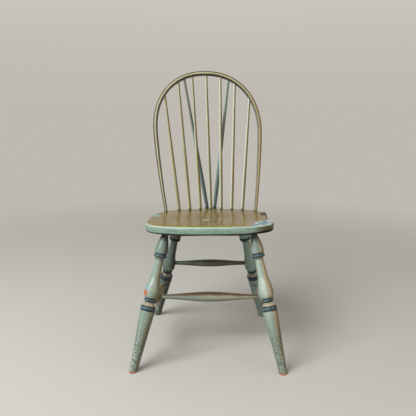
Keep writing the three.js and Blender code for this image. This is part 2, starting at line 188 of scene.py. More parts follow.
def bow_side_span(height):
    share = min(1.0, max(0.0, (height - BOW_FOOT_Z) / (BOW_WIDEST_HEIGHT - BOW_FOOT_Z)))
    return lerp(BOW_FOOT_HALF_SPAN, BOW_HALF_WIDTH, 1.0 - (1.0 - share) ** BOW_FOOT_CURVE)


def bow_point(across, height):
    rise = (height - BOW_FOOT_Z) / (BOW_TOP_HEIGHT - BOW_FOOT_Z)
    return Vector((BACK_X + across + BOW_SIDE_LEAN * rise, BOW_FOOT_Y + BOW_REAR_LEAN * rise, height))


def bow_arch_point(across):
    share = 1.0 - (abs(across) / BOW_HALF_WIDTH) ** BOW_POWER
    height = BOW_WIDEST_HEIGHT + (BOW_TOP_HEIGHT - BOW_WIDEST_HEIGHT) * share ** (1.0 / BOW_POWER)
    return bow_point(across, height)


def point_along(start, end, distance):
    return start + (end - start).normalized() * distance


def spindle_foot(place):
    """Where a spindle enters the seat; place counts from the middle one, which is 0."""
    y = SEAT_REAR_Y - SPINDLE_SETBACK - SPINDLE_LINE_DEPTH * (place / SPINDLE_MIDDLE) ** 2
    return seat_point(BACK_X + place * SPINDLE_SEAT_SPACING, y)


def brace_foot(side):
    return seat_point(BACK_X + side * BRACE_TAIL_SPACING / 2.0, SEAT_REAR_Y + TAIL_LENGTH - BRACE_TAIL_SETBACK)


# Mesh making


def new_object(name, data):
    obj = bpy.data.objects.new(name, data)
    bpy.context.scene.collection.objects.link(obj)
    return obj


def mesh_from(name, verts, faces, attributes=None):
    """A mesh in metres from points in the chair's own millimetres, with named values on its points."""
    mesh = bpy.data.meshes.new(name)
    mesh.from_pydata([tuple((Vector(v) + OFFSET) * MM) for v in verts], [], faces)
    mesh.update()
    for key, values in (attributes or {}).items():
        vector = isinstance(values[0], tuple)
        layer = mesh.attributes.new(key, "FLOAT_VECTOR" if vector else "FLOAT", "POINT")
        if vector:
            layer.data.foreach_set("vector", [c for v in values for c in v])
        else:
            layer.data.foreach_set("value", values)
    mesh.shade_smooth()
    return mesh


def note(attributes, values):
    """Adds one point's named values to the lists of all points."""
    for key, value in values.items():
        attributes.setdefault(key, []).append(value)


def bands(rings, sides, first=0):
    """Quads between rings of points that follow one another."""
    return [
        (at + side, at + (side + 1) % sides, at + sides + (side + 1) % sides, at + sides + side)
        for at in range(first, first + (rings - 1) * sides, sides) for side in range(sides)
    ]


def closed_tube(rings, sides):
    """Faces of a tube of rings, closed by a point before the first ring and one after the last."""
    faces = bands(rings, sides, 1)
    last = 1 + (rings - 1) * sides
    for side in range(sides):
        after = (side + 1) % sides
        faces += [(0, 1 + after, 1 + side), (last + sides, last + side, last + after)]
    return faces


def turned(name, start, end, profile, sides, marks, wobble, seed):
    """A turning about the line from start to end.

    profile holds (distance along the line, radius). marks(distance, radius, turn) gives named values
    for a point; turn is the direction in which it faces, in the chair's frame.
    """
    name = "turned_" + name
    axis = (end - start).normalized()
    across = axis.cross(Vector((0.0, 1.0, 0.0))).normalized()
    other = axis.cross(across)
    verts = []
    attributes = {}

    def add(point, distance, radius, turn):
        verts.append(point)
        grain = tuple(turn * radius * GRAIN + Vector((seed, 0.0, distance * GRAIN)))
        note(attributes, {"grain": grain, **marks(distance, radius, turn)})

    def cap(distance):
        add(start + axis * distance, distance, 0.0, Vector((0.0, 0.0, 0.0)))

    cap(profile[0][0])
    for distance, radius in profile:
        for side in range(sides):
            angle = 2.0 * math.pi * side / sides
            turn = across * math.cos(angle) + other * math.sin(angle)
            where = turn * 0.8 + Vector((seed, seed * 0.7, distance * 0.018))
            grown = radius + wobble * noise.noise(where)
            add(start + axis * distance + turn * grown, distance, grown, turn)
    cap(profile[-1][0])
    return new_object(name, mesh_from(name, verts, closed_tube(len(profile), sides), attributes))


def profile_through(stops, step=1.6):
    """A profile through (distance, radius) stops, without points that fall together.

    A stop may carry how the radius eases to the next.
    """
    points = []
    for (d0, r0, *how), (d1, r1, *_) in zip(stops, stops[1:]):
        ease = how[0] if how else (lambda t: t)
        count = max(1, math.ceil(max(abs(d1 - d0), abs(r1 - r0)) / step))
        points += [(lerp(d0, d1, i / count), lerp(r0, r1, ease(i / count))) for i in range(count)]
    profile = []
    for d, r in [*points, stops[-1]]:
        if not profile or abs(d - profile[-1][0]) + abs(r - profile[-1][1]) > 0.05:
            profile.append((d, r))
    return profile


def edit_mesh(mesh, change=lambda bm: None):
    """Changes a mesh and leaves its faces looking outwards."""
    bm = bmesh.new()
    bm.from_mesh(mesh)
    change(bm)
    bmesh.ops.recalc_face_normals(bm, faces=bm.faces)
    bm.to_mesh(mesh)
    bm.free()


def cut_level(bm):
    """Cuts a leg level with the floor and closes the cut."""
    geom = bm.verts[:] + bm.edges[:] + bm.faces[:]
    cut = bmesh.ops.bisect_plane(bm, geom=geom, plane_co=(0, 0, 0), plane_no=(0, 0, 1), clear_inner=True)
    edges = [e for e in cut["geom_cut"] if isinstance(e, bmesh.types.BMEdge)]
    bmesh.ops.edgeloop_fill(bm, edges=edges)


def apply_modifiers(obj):
    graph = bpy.context.evaluated_depsgraph_get()
    mesh = bpy.data.meshes.new_from_object(obj.evaluated_get(graph))
    obj.modifiers.clear()
    obj.data = mesh


# Legs

LEG_TENON_INTO_SEAT = 3.0
LEG_SIDES = 72
RING_GROOVE = 2.4
# Distance down the leg, height and radius of each turned ring
LEG_RINGS = [(67.8, 9.0, 21.0), (210.3, 8.0, 18.7), (236.2, 11.0, 24.6)]


def round_out(t):
    return math.sin(t * math.pi / 2.0)


def round_in(t):
    return 1.0 - math.sqrt(max(0.0, 1.0 - t * t))


def vase_rise(t):
    return 0.5 * t + 0.5 * smooth(0.5, 0.92, t)


def ring_stops(at, height, radius):
    stops = []
    for angle in range(-90, 91, 15):
        turn = math.radians(angle)
        out = radius - RING_GROOVE * (1.0 - math.cos(turn))
        stops.append((at + height / 2.0 * math.sin(turn), out))
    return stops


def leg_profile():
    (at1, h1, r1), (at2, h2, r2), (at3, h3, r3) = LEG_RINGS
    groove1, collar = at1 - h1 / 2 - 1.0, at1 + h1 / 2 + 1.0
    groove2, cove = at2 - h2 / 2 - 1.0, at2 + h2 / 2 + 1.0
    flare, taper = at3 - h3 / 2 - 1.0, at3 + h3 / 2 + 1.0
    stops = [
        (-LEG_TENON_INTO_SEAT, 11.5), (5.0, 11.5, round_out), (51.0, 20.9, round_in),
        (groove1, r1 - RING_GROOVE - 1.6), *ring_stops(at1, h1, r1),
        (collar - 0.2, 14.2), (collar + 0.8, 15.0), (collar + 3.4, 15.0), (collar + 4.0, 14.6), (collar + 4.6, 13.5),
        (collar + 7.0, 13.1, vase_rise), (186.0, 23.9, round_in),
        (groove2, r2 - RING_GROOVE - 0.6), *ring_stops(at2, h2, r2),
        (cove - 0.2, 14.4), (cove + 2.0, 14.4, round_out), (flare, 22.0), (flare + 0.3, 20.8), *ring_stops(at3, h3, r3),
        (taper, 21.2), (taper + 0.6, 23.2), (taper + 3.0, 23.9, lambda t: t ** 0.9), (436.0, 12.4), (480.0, 12.4),
    ]
    return profile_through(stops)


def leg_marks(distance, radius, turn, leg_shade, warm):
    """Named values along a leg: the painted rings, the grooves beside them, the cove and the thick places."""
    ring = groove = 0.0
    for at, height, _ in LEG_RINGS:
        ring = max(ring, 1.0 - smooth(height / 2 - 0.2, height / 2 + 0.8, abs(distance - at)))
        for edge in (at - height / 2 - 0.9, at + height / 2 + 0.9):
            groove = max(groove, bell(distance, edge, 4.2))
    groove = max(groove, 0.75 * bell(distance, 79.0, 2.6))
    cove = smooth(215.4, 217.0, distance) * (1.0 - smooth(229.0, 230.5, distance))
    collar = smooth(73.4, 74.2, distance) * (1.0 - smooth(76.6, 77.6, distance))
    thick = smooth(17.0, 23.0, radius)
    return {
        "ring": ring, "groove": groove, "cove": cove, "collar": collar, "thick": thick,
        "side": turn.x, "front": -turn.y, "leg_shade": leg_shade, "warm": warm, "along": distance * MM,
    }


def make_leg(name, foot, top, seed, leg_shade, warm):
    marks = functools.partial(leg_marks, leg_shade=leg_shade, warm=warm)
    leg = turned(name, top, foot, leg_profile(), LEG_SIDES, marks, wobble=0.35, seed=seed)
    edit_mesh(leg.data, cut_level)
    return leg


legs = {}
leg_ends = {}
for side, side_name in SIDES:
    for place, half_top, y_top, half_foot, y_foot in (
        ("front", FRONT_TOP_HALF_SPAN, FRONT_TOP_Y, FRONT_FOOT_HALF_SPAN, FRONT_FOOT_Y),
        ("rear", REAR_TOP_HALF_SPAN, REAR_TOP_Y, REAR_FOOT_HALF_SPAN, REAR_FOOT_Y),
    ):
        key = f"leg_{place}_{side_name}"
        foot = Vector((side * half_foot, y_foot, 0.0))
        top = seat_point(side * half_top, y_top, SEAT_THICKNESS)
        leg_ends[key] = (top, foot)
        # How much painted shade a leg takes: most on the rear left leg
        leg_shade = {"front": 0.0, "rear": 0.95 if side < 0 else 0.05}[place]
        # How much warm tan, painted warm light and painted highlight a leg takes: most on the front right leg
        warm = 0.9 if key == "leg_front_right" else 0.25
        legs[key] = make_leg(key, foot, top, 3.1 * len(legs), leg_shade, warm)


def leg_axis_point(key, distance):
    top, foot = leg_ends[key]
    return point_along(top, foot, distance)


# Stretchers

STRETCHER_TENON = 34.0
STRETCHER_POWER = 1.6
STRETCHER_SHORT = 3.0
STRETCHER_SIDES = 48


def make_stretcher(name, start, end, end_radius, bulge_radius, share, seed):
    length = (end - start).length
    centre = length * share
    profile = []
    steps = int(length / 2.0)
    for i in range(steps + 1):
        d = lerp(STRETCHER_SHORT, length - STRETCHER_SHORT, i / steps)
        reach = centre - STRETCHER_TENON if d < centre else length - STRETCHER_TENON - centre
        t = math.cos(math.pi / 2.0 * min(1.0, abs(d - centre) / reach))
        profile.append((d, lerp(end_radius, bulge_radius, max(0.0, t) ** STRETCHER_POWER)))

    def marks(distance, radius, turn):
        near = min(distance, length - distance)
        return {"up": turn.z, "ends": 1.0 - smooth(16.0, 40.0, near), "share": distance / length}

    return turned(name, start, end, profile, STRETCHER_SIDES, marks, wobble=0.3, seed=seed)


stretchers = {}
side_ends = {}
for _, side_name in SIDES:
    start = leg_axis_point(f"leg_front_{side_name}", SIDE_FRONT_AT)
    end = leg_axis_point(f"leg_rear_{side_name}", SIDE_REAR_AT)
    key = f"side_stretcher_{side_name}"
    side_ends[side_name] = start.lerp(end, SIDE_BULGE_SHARE)
    seed = 20.0 + len(stretchers)
    stretchers[key] = make_stretcher(key, start, end, SIDE_END, SIDE_BULGE, SIDE_BULGE_SHARE, seed)
stretchers["medial_stretcher"] = make_stretcher(
    "medial_stretcher", side_ends["left"], side_ends["right"], MEDIAL_END, MEDIAL_BULGE, 0.5, seed=31.0)
stretchers["rear_stretcher"] = make_stretcher(
    "rear_stretcher", leg_axis_point("leg_rear_left", REAR_AT), leg_axis_point("leg_rear_right", REAR_AT),
    REAR_END, REAR_BULGE, 0.5, seed=33.0)

# Spindles


def make_spindle(name, base, top, foot_radius, swell_radius, seed):
    length = (top - base).length
    stops = [
        (-2.0, foot_radius), (foot_radius, foot_radius), (SPINDLE_SWELL_AT, swell_radius),
        (length * 0.45, lerp(swell_radius, SPINDLE_TOP, 0.35)),
        (length - 2 * BOW_FACE, SPINDLE_TOP), (length + 1.0, SPINDLE_TOP),
    ]

    def marks(distance, radius, turn):
        return {"side": turn.x, "foot": 1.0 - smooth(0.0, 14.0, distance), "share": distance / length}

    profile = profile_through(stops, step=6.0)
    return turned(name, base, top, profile, SPINDLE_SIDES, marks, wobble=0.25, seed=seed)


spindles = {}
for i in range(SPINDLE_COUNT):
    place = i - SPINDLE_MIDDLE
    top = bow_arch_point(place * SPINDLE_BOW_SPACING + SPINDLE_BOW_SHIFT)
    key = f"spindle_{i + 1}"
    spindles[key] = make_spindle(key, spindle_foot(place), top, SPINDLE_FOOT, SPINDLE_SWELL, 40.0 + 2.3 * i)
braces = {}
for side, side_name in SIDES:
    top = bow_arch_point(side * BRACE_BOW_SPACING / 2.0 + SPINDLE_BOW_SHIFT)
    key = f"brace_spindle_{side_name}"
    braces[key] = make_spindle(key, brace_foot(side), top, BRACE_FOOT, BRACE_SWELL, 60.0 + side)

# Bow

# Half of the bow's section, across its face and through its depth: a bead between two grooves
BOW_HALF_SECTION = [
    (0.0, 9.0), (1.2, 8.85), (2.2, 8.4), (3.0, 7.6), (3.5, 7.0), (3.9, 7.1), (4.6, 7.9), (5.4, 8.2), (6.3, 7.8),
    (7.1, 7.0), (7.7, 5.9), (8.0, 4.6), (8.0, 0.0), (7.9, -5.0), (7.4, -6.8), (6.2, -8.1), (4.4, -8.8), (2.2, -9.0),
]


def bow_centre(t):
    side = -1 if t < 0.5 else 1
    to_top = 1.0 - abs(2.0 * t - 1.0)
    if to_top < BOW_SIDE_SHARE:
        foot = bow_point(side * BOW_FOOT_HALF_SPAN, BOW_FOOT_Z)
        start = seat_top(foot.x, foot.y) - BOW_FOOT_SUNK
        height = lerp(start, BOW_WIDEST_HEIGHT, to_top / BOW_SIDE_SHARE)
        return bow_point(side * bow_side_span(max(height, BOW_FOOT_Z)), height)
    angle = (to_top - BOW_SIDE_SHARE) / (1.0 - BOW_SIDE_SHARE) * math.pi / 2.0
    across = BOW_HALF_WIDTH * max(0.0, math.cos(angle)) ** (2.0 / BOW_POWER)
    up = math.sin(angle) ** (2.0 / BOW_POWER)
    return bow_point(side * across, lerp(BOW_WIDEST_HEIGHT, BOW_TOP_HEIGHT, up))


def bow_marks(x, y, distance, total):
    """Named values along the bow; x runs across its face, outwards, and y from its back to its bead."""
    return {
        "grain": (x * GRAIN, y * GRAIN, distance * GRAIN),
        "bead": 1.0 - smooth(2.6, 3.6, abs(x)) if y > 0 else 0.0,
        "quirk": bell(abs(x), 3.7, 1.5) if y > 0 else 0.0,
        "outer": x / (BOW_FACE / 2.0), "facing": y / (BOW_DEPTH / 2.0), "share": distance / total,
        "foot": 1.0 - smooth(0.0, 14.0, min(distance, total - distance)),
    }


def make_bow(name):
    raw = [bow_centre(i / BOW_FINE_STEPS) for i in range(BOW_FINE_STEPS + 1)]
    lengths = [0.0]
    for a, b in zip(raw, raw[1:]):
        lengths.append(lengths[-1] + (b - a).length)
    total = lengths[-1]
    steps = BOW_STEPS
    line = []
    for i in range(steps + 1):
        want = total * i / steps
        j = min(len(raw) - 2, max(0, bisect.bisect_right(lengths, want) - 1))
        span = lengths[j + 1] - lengths[j]
        line.append(raw[j].lerp(raw[j + 1], (want - lengths[j]) / span if span else 0.0))
    # The bow lies in one leaning plane, and its bead looks forward out of it
    up_plane = Vector((0.0, BOW_REAR_LEAN, BOW_TOP_HEIGHT - BOW_FOOT_Z)).normalized()
    forward = Vector((1.0, 0.0, 0.0)).cross(up_plane).normalized()
    section = [(-x, y) for x, y in reversed(BOW_HALF_SECTION[1:])] + BOW_HALF_SECTION
    count = len(section)
    verts = []
    attributes = {}
    for i, point in enumerate(line):
        before, after = line[max(0, i - 1)], line[min(steps, i + 1)]
        tangent = (after - before).normalized()
        out = forward.cross(tangent).normalized()
        along = total * i / steps
        scale = lerp(BOW_FOOT_SCALE, 1.0, smooth(0.0, BOW_TAPER, min(along, total - along)))
        for x, y in section:
            wave = BOW_WAVE * noise.noise(Vector((x * 0.1, y * 0.1, along * 0.02)))
            verts.append(point + out * (x * scale) + forward * (y * scale + wave))
            note(attributes, bow_marks(x, y, along, total))
    faces = bands(steps + 1, count)
    faces.append(tuple(range(count - 1, -1, -1)))
    faces.append(tuple(range(steps * count, (steps + 1) * count)))
    mesh = mesh_from(name, verts, faces, attributes)
    edit_mesh(mesh)
    return new_object(name, mesh)


bow = make_bow("bent_bow")

# Seat

SEAT_ANGLES = 320
TOP_RINGS = 44
RIDGE_REAR = 20.0
RIDGE_FRONT = -110.0
RIDGE_EASE = 30.0


def dish(x, y):
    """How far the top is hollowed: one broad hollow at the rear, parted by a low ridge towards the front."""
    parted = smooth(RIDGE_REAR, RIDGE_FRONT, y)
    half_spacing = DISH_SPACING / 2.0 * parted
    half_width = DISH_HALF_WIDTH + DISH_SPACING / 2.0 * (1.0 - parted)
    across = (math.sqrt(x * x + RIDGE_EASE ** 2 * parted) - half_spacing) / half_width
    along = (y - DISH_Y) / DISH_HALF_LENGTH
    return DISH_DEPTH * (1.0 - min(1.0, across ** 2 + along ** 2)) ** 1.5


# A corner knocked off the rim: direction from the seat's middle in degrees, and how far in it reaches
RIM_CHIP = [
    (-3.0, 0.0), (2.5, 4.5), (11.5, 12.5), (15.5, 18.5), (18.5, 19.0), (22.5, 14.0),
    (28.0, 8.0), (33.0, 2.0), (36.0, 0.0),
]
RIM_CHIP_STEP = 7.0
RIM_CHIP_FALL = 17.0
# A flake beside it that stands up: its place, its reach and its height
FLAKE_X = 196.0
FLAKE_Y = 86.0
FLAKE_REACH = 22.0
FLAKE_HEIGHT = 4.5


def rim_chip(degrees):
    ragged = 1.0 + 0.3 * noise.noise(Vector((degrees * 0.9, 2.0, 5.0)))
    return table_value(RIM_CHIP, degrees, 0.0) * ragged


def seat_rings():
    """(share of the outline, inset, drop, how much of the hollows shows) from the top's middle to the underside's."""
    rings = [(i / TOP_RINGS, 0.0, 0.0, 1.0) for i in range(1, TOP_RINGS - 2)]
    for turn in range(0, 91, 9):
        angle = math.radians(turn)
        inset, drop = SEAT_EDGE_ROUND * (1 - math.sin(angle)), SEAT_EDGE_ROUND * (1 - math.cos(angle))
        rings.append((1.0, inset, drop, 0.0))
    bevel_top = SEAT_THICKNESS - SEAT_BEVEL_HEIGHT
    side_low = bevel_top - SEAT_UNDER_CORNER
    for share in (0.33, 0.66, 1.0):
        rings.append((1.0, SEAT_SIDE_DRAFT * share, lerp(SEAT_EDGE_ROUND, side_low, share), 0.0))
    for turn in (30, 60, 90):
        angle = math.radians(turn)
        inset = lerp(SEAT_UNDER_CORNER, SEAT_SIDE_DRAFT, math.cos(angle))
        rings.append((1.0, inset, side_low + SEAT_UNDER_CORNER * math.sin(angle), 0.0))
    for share in (0.1, 0.35, 0.7, 1.0):
        inset = lerp(SEAT_UNDER_CORNER, SEAT_BEVEL, share)
        rings.append((1.0, inset, lerp(bevel_top, SEAT_THICKNESS, share), 0.0))
    rings += [(0.6, 0.0, SEAT_THICKNESS, 0.0), (0.3, 0.0, SEAT_THICKNESS, 0.0)]
    return rings


def make_seat(name):
    rings = seat_rings()
    verts = [seat_point(0.0, SEAT_WIDEST_Y, dish(0.0, SEAT_WIDEST_Y))]
    for share, inset, drop, hollow in rings:
        for step in range(SEAT_ANGLES):
            angle = 2.0 * math.pi * step / SEAT_ANGLES
            chip = rim_chip(math.degrees(angle if angle < math.pi else angle - 2.0 * math.pi))
            chip *= share ** 2 * (1.0 - smooth(RIM_CHIP_STEP, RIM_CHIP_FALL, drop))
            reach = share * (seat_reach(angle) - chip) - inset
            x, y = reach * math.cos(angle), SEAT_WIDEST_Y + reach * math.sin(angle)
            low = drop + hollow * dish(x, y)
            if drop < SEAT_EDGE_ROUND:
                low += max(0.0, SEAT_WAVE * noise.noise(Vector((x * 0.02, y * 0.02, 4.0))))
                low -= FLAKE_HEIGHT * bell(math.hypot(x - FLAKE_X, y - FLAKE_Y), 0.0, FLAKE_REACH)
            verts.append(seat_point(x, y, low))
    verts.append(seat_point(0.0, SEAT_WIDEST_Y, SEAT_THICKNESS))
    # The seat's rings run the other way round than a turning's, so its faces are turned over
    faces = [(face[0], *face[:0:-1]) for face in closed_tube(len(rings), SEAT_ANGLES)]
    seat = new_object(name, mesh_from(name, verts, faces))
    tail = new_object(name + "_tail", tail_mesh(name + "_tail"))
    join = seat.modifiers.new("join", "BOOLEAN")
    join.operation = "UNION"
    join.solver = "EXACT"
    join.object = tail
    apply_modifiers(seat)
    bpy.data.objects.remove(tail)
    seat.data.shade_smooth()
    mark_seat(seat.data)
    return seat


# The worn front corner: how far in from the edge the wear reaches, by direction from the seat's middle
WEAR_REACH = [
    (-50.0, -14.0), (-40.0, 8.0), (-30.0, 33.0), (-22.0, 48.0), (-15.0, 52.0), (-8.0, 42.0), (-4.5, 34.0), (-1.0, 14.0),
    (3.0, -8.0), (6.0, -14.0),
]
UNWORN = -30.0


def mark_seat(mesh):
    """Named values on the seat: depth under its plain top, distance in from its outline, wear, the grimy underside and
    a darker ring round the back's feet.
    """
    holes = [spindle_foot(i - SPINDLE_MIDDLE) for i in range(SPINDLE_COUNT)]
    for side, _ in SIDES:
        holes += [seat_point(BACK_X + side * BOW_FOOT_HALF_SPAN, BOW_FOOT_Y), brace_foot(side)]
    values = {}
    for vertex in mesh.vertices:
        point = vertex.co / MM - OFFSET
        angle = math.atan2(point.y - SEAT_WIDEST_Y, point.x)
        inset = seat_reach(angle) - math.hypot(point.x, point.y - SEAT_WIDEST_Y)
        depth = seat_top(point.x, point.y) - point.z
        if inset > SEAT_EDGE_ROUND and depth < SEAT_THICKNESS / 2.0:
            depth = min(depth, 0.5)
        reach = table_value(WEAR_REACH, math.degrees(angle), UNWORN)
        broken = rim_chip(math.degrees(angle))
        near_break = 1.0 - smooth(broken + 4.0, broken + 14.0, inset)
        near = min(math.hypot(point.x - hole.x, point.y - hole.y) for hole in holes)
        note(values, {
            "depth": depth, "inset": inset,
            "patch": reach - abs(inset) - 90.0 * smooth(3.0, 5.0, depth),
            "chip": min(4.0, broken) * near_break * (1.0 - smooth(4.0, RIM_CHIP_FALL, depth)),
            "under": smooth(SEAT_THICKNESS - SEAT_BEVEL_HEIGHT - 1.0, SEAT_THICKNESS - 4.0, depth),
            "feet": 1.0 - smooth(6.0, 11.0, near) if depth < 5.0 else 0.0,
        })
    for key, numbers in values.items():
        mesh.attributes.new(key, "FLOAT", "POINT").data.foreach_set("value", numbers)


def tail_mesh(name):
    """The tail: a block with round rear corners and eased edges, a hair under the seat's deck."""
    half = TAIL_WIDTH / 2.0
    front, rear = SEAT_REAR_Y - SEAT_BEVEL, SEAT_REAR_Y + TAIL_LENGTH

    def outline(inset):
        points = [(half - inset, front)]
        radius = TAIL_CORNER - inset
        for centre, start in ((half - TAIL_CORNER, 0), (TAIL_CORNER - half, 90)):
            for turn in range(0, 91, 9):
                angle = math.radians(start + turn)
                points.append((centre + radius * math.cos(angle), rear - TAIL_CORNER + radius * math.sin(angle)))
        return points + [(inset - half, front)]

    levels = [(2.6, 0.4), (1.2, 0.8), (0.35, 1.6), (0.0, 3.0), (0.0, TAIL_THICKNESS - 2.0), (1.6, TAIL_THICKNESS)]
    verts = [seat_point(BACK_X + x, y, drop) for inset, drop in levels for x, y in outline(inset)]
    n = len(outline(0.0))
    faces = bands(len(levels), n)
    faces.append(tuple(range(n)))
    faces.append(tuple(range(len(verts) - 1, len(verts) - n - 1, -1)))
    mesh = mesh_from(name, verts, faces)
    edit_mesh(mesh)
    return mesh


seat = make_seat("saddled_seat")

# Materials


def srgb(red, green, blue):
    """A colour named by its usual 0 to 255 values, as the linear colour that a shader takes."""
    def linear(value):
        value /= 255.0
        return value / 12.92 if value <= 0.04045 else ((value + 0.055) / 1.055) ** 2.4
    return (linear(red), linear(green), linear(blue), 1.0)


class Nodes:
    """Builds a node tree call by call; each call gives the socket that carries its result."""

    def __init__(self, tree):
        self.tree = tree

    def put(self, value, socket):
        if isinstance(value, bpy.types.NodeSocket):
            self.tree.links.new(value, socket)
        else:
            socket.default_value = value

    def node(self, kind, inputs, **settings):
        node = self.tree.nodes.new(kind)
        for key, value in settings.items():
            setattr(node, key, value)
        for key, value in inputs.items():
            self.put(value, node.inputs[key])
        return node

    def values(self, *names):
        return [self.node("ShaderNodeAttribute", {}, attribute_name=name).outputs["Fac"] for name in names]

    def vector(self, name):
        return self.node("ShaderNodeAttribute", {}, attribute_name=name).outputs["Vector"]

    def place(self):
        return self.node("ShaderNodeTexCoord", {}).outputs["Object"]

    def parts(self, vector):
        return self.node("ShaderNodeSeparateXYZ", {0: vector}).outputs

    def vmath(self, operation, a, b):
        node = self.node("ShaderNodeVectorMath", {0: a, 1: b}, operation=operation)
        return node.outputs["Value" if operation == "LENGTH" else "Vector"]

    def noise(self, where, scale, detail=3.0, roughness=0.55, stretch=None, shift=0.0):
        if stretch:
            where = self.vmath("MULTIPLY", where, stretch)
        if shift:
            where = self.vmath("ADD", where, (shift, -shift, 0.5 * shift))
        inputs = {"Vector": where, "Scale": scale, "Detail": detail, "Roughness": roughness}
        return self.node("ShaderNodeTexNoise", inputs).outputs["Fac"]

    def cells(self, where, scale, feature="F1"):
        inputs = {"Vector": where, "Scale": scale}
        return self.node("ShaderNodeTexVoronoi", inputs, feature=feature).outputs["Distance"]

    def math(self, operation, a, b=0.0, c=0.0):
        return self.node("ShaderNodeMath", {0: a, 1: b, 2: c}, operation=operation).outputs[0]

    def add(self, *values):
        return functools.reduce(lambda a, b: self.math("ADD", a, b), values)

    def times(self, *values):
        return functools.reduce(lambda a, b: self.math("MULTIPLY", a, b), values)

    def most(self, *values):
        return functools.reduce(lambda a, b: self.math("MAXIMUM", a, b), values)

    def scaled(self, value, by, plus):
        return self.math("MULTIPLY_ADD", value, by, plus)

    def rest(self, value):
        return self.math("SUBTRACT", 1.0, value)

    def span(self, value, low, high, to_low=0.0, to_high=1.0):
        inputs = {"Value": value, "From Min": low, "From Max": high, "To Min": to_low, "To Max": to_high}
        return self.node("ShaderNodeMapRange", inputs, interpolation_type="SMOOTHSTEP").outputs["Result"]

    def mix(self, share, a, b):
        """One colour over another; three numbers are a colour's usual 0 to 255 values."""
        a, b = (srgb(*c) if isinstance(c, tuple) and len(c) == 3 else c for c in (a, b))
        return self.node("ShaderNodeMix", {0: share, 6: a, 7: b}, data_type="RGBA").outputs[2]

    def layers(self, color, *coats):
        """A colour with tints laid over it one after another, each as (share, tint)."""
        for share, tint in coats:
            color = self.mix(share, color, tint)
        return color

    def spot(self, place, centre, radii, ragged=1.0, grain=160.0, soft=0.1):
        """One inside an uneven patch about a point of the chair, in metres, and nothing outside it."""
        scaled = self.vmath("DIVIDE", self.vmath("SUBTRACT", place, centre), radii)
        far = self.vmath("LENGTH", scaled, (0.0, 0.0, 0.0))
        uneven = self.scaled(self.noise(place, grain, 4.0, 0.6), 2.0 * ragged, -ragged)
        return self.span(self.add(far, uneven), 1.0 + soft, 1.0 - soft)

    def crackle(self, where, scale, width):
        """Thin lines between uneven plates of old paint."""
        bend = self.node("ShaderNodeTexNoise", {"Vector": where, "Scale": scale * 0.7, "Detail": 2.0}).outputs["Color"]
        bent = self.node("ShaderNodeVectorMath", {0: bend, "Scale": 0.9 / scale}, operation="SCALE").outputs["Vector"]
        return self.span(self.cells(self.vmath("ADD", where, bent), scale, "DISTANCE_TO_EDGE"), width, 0.0)


class Paint(Nodes):
    """A material whose colour is built up coat by coat."""

    def __init__(self, name):
        self.material = bpy.data.materials.new(name)
        self.material.use_nodes = True
        super().__init__(self.material.node_tree)
        self.shader = self.tree.nodes["Principled BSDF"]
        self.color = None

    def coat(self, tint, *shares):
        """Lays a tint over the colour so far; the shares are multiplied."""
        self.color = self.mix(self.times(*shares), self.color, tint)

    def chips(self, where, scale, shift, low, rim=None):
        """Chips down to dark wood, with an older coat round them where a rim is given."""
        field = self.noise(where, scale, 5.0, 0.65, shift=shift)
        if rim:
            self.coat(rim, self.span(field, low - 0.035, low - 0.015), 0.6)
        chip = self.span(field, low, low + 0.02)
        self.coat(DARK_WOOD, chip)
        return chip

    def finish(self, roughness, height, strength=0.6):
        """Sets the colour, the gloss and the relief."""
        self.put(self.color, self.shader.inputs["Base Color"])
        self.put(roughness, self.shader.inputs["Roughness"])
        bump = self.node("ShaderNodeBump", {"Height": height, "Strength": strength, "Distance": RELIEF})
        self.put(bump.outputs["Normal"], self.shader.inputs["Normal"])
        return self.material


SPECULAR = "Specular IOR Level"
RELIEF = 0.0006
BARE_WOOD = (204, 146, 114)
DARK_WOOD = (112, 78, 52)
GRIME = (44, 46, 34)
SAGE = (154, 177, 163)
SAGE_DULL = (124, 144, 128)
OLIVE = (112, 110, 74)
PALE = (206, 224, 212)
TEAL = (48, 80, 90)


def old_paint(p, where, base, specks=0.5, drawn_out=None):
    """The uneven tone that all the old paint has: broad clouds, fine mottling, grain worn pale and dark specks.

    Gives its relief, the clouds and the mottling.
    """
    p.color = base
    clouds = p.noise(where, 2.4, 3.0, stretch=drawn_out)
    mottle = p.noise(where, 14.0, 4.0, 0.62, stretch=drawn_out)
    grain = p.noise(where, 9.0, 3.0, stretch=(1.0, 1.0, 0.12))
    p.coat(p.mix(0.45, p.color, SAGE_DULL), p.span(clouds, 0.42, 0.68), 0.55)
    p.coat(p.mix(0.5, p.color, GRIME), p.span(mottle, 0.5, 0.72), 0.45)
    p.coat(p.mix(0.6, p.color, PALE), p.span(grain, 0.55, 0.75), 0.3)
    fine = p.noise(where, 30.0, 2.0, 0.5, shift=3.7)
    speck = p.times(p.span(fine, 0.60, 0.68), p.span(mottle, 0.35, 0.55), specks)
    p.coat(p.mix(0.6, p.color, PALE), p.span(fine, 0.42, 0.32), specks, 0.6)
    p.coat(p.mix(0.75, p.color, DARK_WOOD), speck)
    height = p.add(p.times(clouds, 0.5), p.times(mottle, 0.5), p.times(speck, -0.5), p.times(grain, 0.25))
    return height, clouds, mottle


